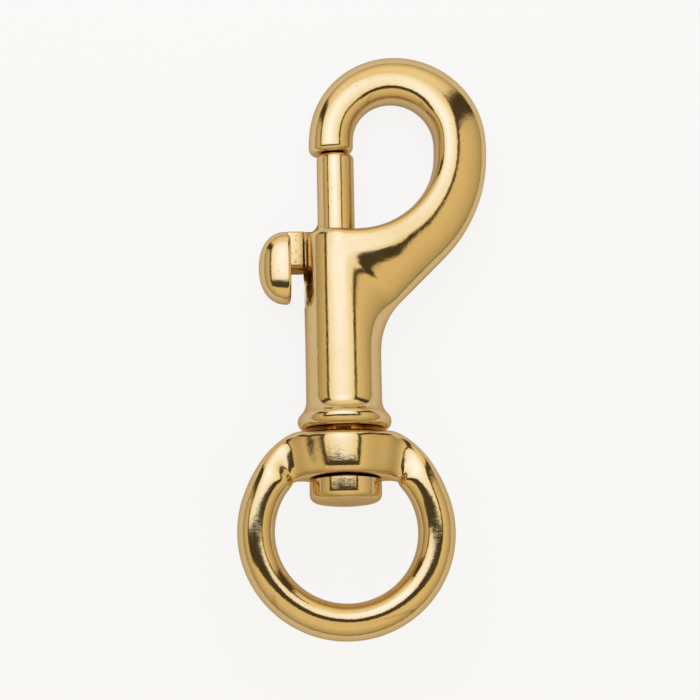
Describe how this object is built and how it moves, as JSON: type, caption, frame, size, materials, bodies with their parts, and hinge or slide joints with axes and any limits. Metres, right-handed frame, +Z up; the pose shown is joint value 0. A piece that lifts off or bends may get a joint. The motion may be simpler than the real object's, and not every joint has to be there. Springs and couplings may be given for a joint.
{
  "type": "swivel bolt snap",
  "caption": "Brass bolt snap hook: a cast hook closed by a sprung sliding bolt with a side thumb knob, on a barrel that carries a round eye on a rivet swivel.",
  "frame": {"origin": "on the table under the middle of the bounding box, with the snap lying at rest on its collar and the crown of its hook", "axes": "+Y along the snap from its eye to its hook, +X from the thumb knob's side to the hook's bulge, +Z up through the hook's thickness"},
  "size_m": [0.0456, 0.105, 0.017],
  "materials": {
    "hook_brass": "polished casting",
    "plunger_brass": "polished bolt and knob, cast skin on the arm",
    "spring_steel": "drawn wire",
    "eye_brass": "polished casting",
    "pin_brass": "polished rivet"
  },
  "bodies": {
    "body": {"hook_body": "hook_brass", "swivel_pin": "pin_brass", "spring": "spring_steel"},
    "plunger": {"plunger": "plunger_brass"},
    "eye": {"swivel_eye": "eye_brass"}
  },
  "joints": [
    {"name": "bolt_slide", "type": "slide", "parent": "body", "child": "plunger", "axis": [0, -0.9974, 0.0714], "range_m": [0, 0.0066], "stiffness_N_per_m": 600, "springref_m": -0.005, "deforming": ["spring"]},
    {"name": "eye_swivel", "type": "hinge", "parent": "body", "child": "eye", "pos_m": [-0.00361, -0.01542, 0.00883], "axis": [0, 0.9974, -0.0714], "continuous": true}
  ]
}
